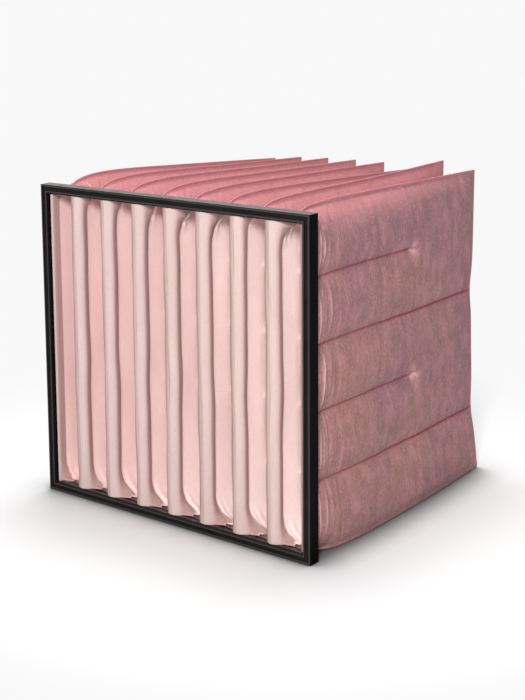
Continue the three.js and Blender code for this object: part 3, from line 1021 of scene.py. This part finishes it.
def inner_material(name, painted_shade_depths, front, flank, panel, shaded_left_panel, flare_shade):
    """The dirty-air side: grey pink where it folds round a rod, with a painted highlight on the bar's
    front and painted shade on its flank and flared corners; bright pink behind the bar, partly its own
    colour and partly painted light, brightening to the right.
    """
    m, tree, b, coords = shader(name, 0.92)
    place = axes(tree, coords)
    cloud = noise(tree, coords, 26.0, 4.0, (1.0, 1.0, 0.4))
    uneven = worked_out(tree, "MULTIPLY_ADD", cloud, FLANK_UNEVEN, place["Y"])
    face = -OVERALL_DEPTH / 2000.0 + FLANK_UNEVEN / 2
    start, stop = (face + depth / 1000 for depth in painted_shade_depths)
    # Painted highlight and shade: the bar's front takes the light front colour, its flank the darker
    # flank colour
    bar = mixed(tree, front, flank, spread(tree, uneven, start, stop))
    # Painted shade in the flared corners of the mouth
    bar = mixed(tree, bar, flare_shade, mark(tree, "flare"))
    # Painted light: the panels brighten from the header's left end to its right
    sheet = mixed(tree, shaded_left_panel, panel, spread(tree, place["X"], -0.26, 0.26))
    base = mixed(tree, sheet, bar, mark(tree, "bar"))
    shade = ramp(tree, cloud, [(0.3, (0.95, 0.93, 0.93, 1)), (0.65, grey(1))])
    fibres(tree, coords, mixed(tree, base, shade, 1.0, "MULTIPLY"), b, 0.05, 0.08)
    return m


def plain_fibre(name, dark, pale):
    m, tree, b, coords = shader(name, 0.92)
    tone = ramp(tree, noise(tree, coords, 30.0), [(0.3, dark), (0.7, pale)])
    fibres(tree, coords, tone, b, 0.1, 0.2)
    return m


# How far the front colour of a bar, a painted highlight, wanders into its flank's painted shade, in
# metres
FLANK_UNEVEN = 0.005
# How much light the header's plastic returns from its sides and from faces that look up
SIDE_GLOSS = 0.015
TOP_GLOSS = 0.4


def edge_band(tree, inward, start, stop):
    """1 between two distances in from the header's outer edge, and 0 elsewhere."""
    rise = spread(tree, inward, start - 0.0006, start + 0.0003)
    fall = spread(tree, inward, stop - 0.0003, stop + 0.0006)
    return worked_out(tree, "SUBTRACT", rise, fall)


def inward_distance(tree, coords):
    """How far in from the header's outer edge a point lies, in metres."""
    place = axes(tree, coords)
    half_width, half_height = HEADER_WIDTH / 2000, HEADER_HEIGHT / 2000
    from_edge = []
    for axis, middle, half in (("X", 0.0, half_width), ("Z", half_height, half_height)):
        across = worked_out(tree, "SUBTRACT", place[axis], middle)
        size = worked_out(tree, "ABSOLUTE", across)
        from_edge.append(worked_out(tree, "SUBTRACT", half, size))
    return worked_out(tree, "MINIMUM", *from_edge)


def moulded(tree, coords, b, low, high, grain_depth):
    """The uneven shine and the fine grain of moulded plastic."""
    cloud = noise(tree, coords, 55.0, 5.0)
    rough = ramp(tree, cloud, [(0.3, grey(low)), (0.8, grey(high))])
    tree.links.new(rough, b.inputs["Roughness"])
    bumped(tree, b, [(noise(tree, coords, 1500.0, 2.0), grain_depth)], 0.0002)


def header_material(name, face, bead_highlight, side):
    """Black moulded plastic: a painted highlight in grey along its two beads, and painted shade on its
    sides.
    """
    m, tree, b, coords = shader(name, 0.35)
    cloud = noise(tree, coords, 30.0, 4.0)
    tone = ramp(tree, cloud, [(0.3, face), (0.75, scaled(face, 1.5))])
    inward = inward_distance(tree, coords)
    inner_bead = FACE_WIDTH - BEAD_TO_EDGE
    # Painted highlight: the two beads take the lighter grey colour
    for start in (BEAD_CHAMFER, inner_bead - BEAD_WIDTH):
        band = edge_band(tree, inward, start / 1000, (start + BEAD_WIDTH) / 1000)
        tone = mixed(tree, tone, bead_highlight, band)
    # Painted shade: faces that look sideways take the darker side colour
    normal = axes(tree, added(tree, "NewGeometry").outputs["Normal"])
    to_side = worked_out(tree, "ABSOLUTE", normal["X"])
    tone = mixed(tree, tone, side, spread(tree, to_side, 0.6, 0.95))
    tree.links.new(tone, b.inputs["Base Color"])
    faces_up = spread(tree, normal["Z"], 0.75, 0.95)
    gloss = ramp(tree, faces_up, [(0.0, grey(SIDE_GLOSS)), (1.0, grey(TOP_GLOSS))])
    tree.links.new(gloss, b.inputs["Specular IOR Level"])
    moulded(tree, coords, b, 0.22, 0.36, 0.08)
    return m


def plastic_material(name, color, roughness):
    m, tree, b, coords = shader(name, roughness)
    cloud = noise(tree, coords, 30.0, 4.0)
    tone = ramp(tree, cloud, [(0.3, color), (0.75, scaled(color, 1.6))])
    tree.links.new(tone, b.inputs["Base Color"])
    b.inputs["Specular IOR Level"].default_value = 0.2
    moulded(tree, coords, b, roughness * 0.8, roughness * 1.35, 0.2)
    return m


def steel_material(name):
    m, tree, b, coords = shader(name, 0.35, 0.9)
    streak = noise(tree, coords, 60.0, 4.0, (8.0, 8.0, 0.6))
    tone = ramp(tree, streak, [(0.3, srgb("8f9193")), (0.75, srgb("b9bbbd"))])
    tree.links.new(tone, b.inputs["Base Color"])
    bumped(tree, b, [(streak, 0.1)], 0.0003)
    return m


media_outer = outer_material("media_outer", *colors("91686e 99706b a9767b b8797c 8c3742 e3b4b5"))
left_inner = inner_material("media_inner_left", (7, 17), *colors("c1aaa5 b38d8b fde8e4 f6d2cd a98f87"))
# The right sheets' copy of the inner side is darker: painted shade on the bars' left sides
shaded_right_inner = inner_material("media_inner_right_shaded", (1, 8), *colors("bda59f 947a74 f0cdc8 dba9a6 a98f87"))
media_hem = plain_fibre("media_hem", *colors("d9aba8 e8c2be"))
media_ridge = plain_fibre("media_ridge", *colors("a35f66 b06a70"))
thread_color = plain_fibre("thread", *colors("8a3d46 9c4750"))
header_plastic = header_material("header_plastic", *colors("181615 393635 030303"))
key_plastic = plastic_material("key_plastic", srgb("2a2a2a"), 0.5)
rod_steel = steel_material("rod_steel")


def use_material(names, material):
    for name in names:
        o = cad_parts[name]
        o.data.materials.clear()
        o.data.materials.append(material)


sides = ("bottom", "right", "top", "left")
use_material([f"header_{s}" for s in sides], header_plastic)
use_material([f"corner_key_{a}_{b}" for a in ("bottom", "top") for b in ("left", "right")], key_plastic)
use_material([f"divider_rod_{i}" for i in range(1, POCKET_COUNT)], rod_steel)
for s in sides:
    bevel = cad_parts[f"header_{s}"].modifiers.new("Rounded edges", "BEVEL")
    bevel.width = 0.0004
    bevel.segments = 2
    bevel.limit_method = "ANGLE"
    bevel.angle_limit = math.radians(25)


# Pockets

for k in range(POCKET_COUNT):
    detail = FINE if k in (0, POCKET_COUNT - 1) else PLAIN
    for side, grid in zip((-1, 1), media_grids(k, detail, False)):
        word = "left" if side < 0 else "right"
        node = f"pocket_{k + 1}_{word}_sheet"
        inner = left_inner if side < 0 else shaded_right_inner
        materials = [media_outer, inner, media_hem, media_ridge]
        sheet, outer = make_sheet(f"{node}_cloth", k, side, grid, materials)
        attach(sheet, "root")
        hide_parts(node)
        thread = make_thread(f"{node}_stitching", side, outer, grid, thread_color)
        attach(thread, "root")


# Studio


PAPER = 0.94
FLOOR_TONE = 0.76
FLOOR_REACH = 14.0
# The floor is paper between these two distances from the middle, and plain white beyond them
FLOOR_FADE = (0.55, 0.95)
WORLD_LIGHT = 0.34
# A painted contact shadow: the floor's colour darkens this close to the filter, down to this share of its
# tone
CONTACT_REACH = 0.075
CONTACT_TONE = 0.12
# The camera's place, its turn, tilt and roll in degrees, and its picture in pixels: size, focal
# length and the point that it looks at
CAMERA_PLACE = (1.5837, -2.2597, 1.0131)
CAMERA_ANGLES = (42.00, 9.22, -1.52)
PICTURE_WIDTH = 525
PICTURE_HEIGHT = 700
FOCAL_LENGTH = 1477.1
LOOKED_AT = (86.6, 193.2)
SENSOR = 36.0


def seen_directly(tree):
    """1 where the camera sees a point itself, in a mirror or through glass, and 0 where it lights."""
    path = added(tree, "LightPath")
    source = path.outputs["Is Camera Ray"]
    for name in ("Is Glossy Ray", "Is Transmission Ray"):
        source = worked_out(tree, "MAXIMUM", source, path.outputs[name])
    return source


def shader_mix(tree, share, first, second):
    both = added(tree, "MixShader")
    tree.links.new(share, both.inputs[0])
    tree.links.new(first.outputs[0], both.inputs[1])
    tree.links.new(second.outputs[0], both.inputs[2])
    return both.outputs[0]


def add_floor():
    """White paper that keeps the shadow near the object, adds a painted contact shadow at its foot, and
    runs out into the background.
    """
    mesh = bpy.data.meshes.new("floor")
    s = FLOOR_REACH
    mesh.from_pydata([(-s, -s, 0), (s, -s, 0), (s, s, 0), (-s, s, 0)], [], [(0, 1, 2, 3)])
    m, tree, b, coords = shader("floor_paper", 0.9)
    tone = ramp(tree, noise(tree, coords, 4.0),
                [(0.3, grey(FLOOR_TONE)), (0.7, grey(FLOOR_TONE * 1.01))])
    # Painted contact shadow, from ambient occlusion, in the floor's colour
    near = added(tree, "AmbientOcclusion")
    near.inputs["Distance"].default_value = CONTACT_REACH
    near.samples = 8
    painted_contact_shadow = ramp(tree, near.outputs["AO"], [(0.45, grey(CONTACT_TONE)), (0.94, grey(1))])
    tree.links.new(mixed(tree, tone, painted_contact_shadow, 1.0, "MULTIPLY"), b.inputs["Base Color"])
    b.inputs["Specular IOR Level"].default_value = 0.0
    away = added(tree, "VectorMath")
    away.operation = "LENGTH"
    tree.links.new(coords, away.inputs[0])
    far = spread(tree, away.outputs["Value"], *FLOOR_FADE)
    share = worked_out(tree, "MULTIPLY", seen_directly(tree), far)
    glow = added(tree, "Emission")
    glow.inputs["Color"].default_value = grey(PAPER)
    tree.links.new(shader_mix(tree, share, b, glow), tree.nodes["Material Output"].inputs["Surface"])
    mesh.materials.append(m)
    floor = placed("floor", mesh)
    floor.location.z = -0.0005


def add_area(name, place, target, size, power):
    data = bpy.data.lights.new(name, "AREA")
    data.shape = "RECTANGLE"
    data.size, data.size_y = size
    data.energy = power
    o = placed(name, data)
    o.location = place
    o.rotation_euler = (Vector(target) - Vector(place)).to_track_quat("-Z", "Y").to_euler()
    return o


def add_world():
    world = bpy.data.worlds.new("studio")
    bpy.context.scene.world = world
    world.use_nodes = True
    tree = world.node_tree
    tree.nodes.clear()
    out = added(tree, "OutputWorld")
    seen = added(tree, "Background")
    seen.inputs["Color"].default_value = grey(PAPER)
    seen.inputs["Strength"].default_value = 1.0
    lit = added(tree, "Background")
    lit.inputs["Color"].default_value = grey(1)
    lit.inputs["Strength"].default_value = WORLD_LIGHT
    shown = shader_mix(tree, seen_directly(tree), lit, seen)
    tree.links.new(shown, out.inputs["Surface"])


def add_camera():
    yaw, pitch, roll = (math.radians(a) for a in CAMERA_ANGLES)
    level = math.cos(pitch)
    forward = Vector((-math.sin(yaw) * level, math.cos(yaw) * level, -math.sin(pitch)))
    right = Vector((math.cos(yaw), math.sin(yaw), 0))
    up = right.cross(forward)
    right_rolled = right * math.cos(roll) + up * math.sin(roll)
    up_rolled = up * math.cos(roll) - right * math.sin(roll)
    turn = Matrix((right_rolled, up_rolled, -forward)).transposed()
    data = bpy.data.cameras.new("camera")
    data.sensor_width = SENSOR
    data.lens = FOCAL_LENGTH / PICTURE_HEIGHT * SENSOR
    data.shift_x = (PICTURE_WIDTH / 2 - LOOKED_AT[0]) / PICTURE_HEIGHT
    data.shift_y = -(PICTURE_HEIGHT / 2 - LOOKED_AT[1]) / PICTURE_HEIGHT
    data.clip_end = 60
    o = placed("camera", data)
    o.matrix_world = Matrix.Translation(CAMERA_PLACE) @ turn.to_4x4()
    bpy.context.scene.camera = o


add_floor()
add_world()
add_area("key", (2.02, -3.46, 2.3), (0, -0.1, 0.3), (0.9, 0.9), 205)
add_area("top", (-0.4, 0.6, 3.2), (0, 0, 0.3), (1.6, 1.6), 72)
add_camera()
bpy.context.scene.view_settings.view_transform = "Standard"
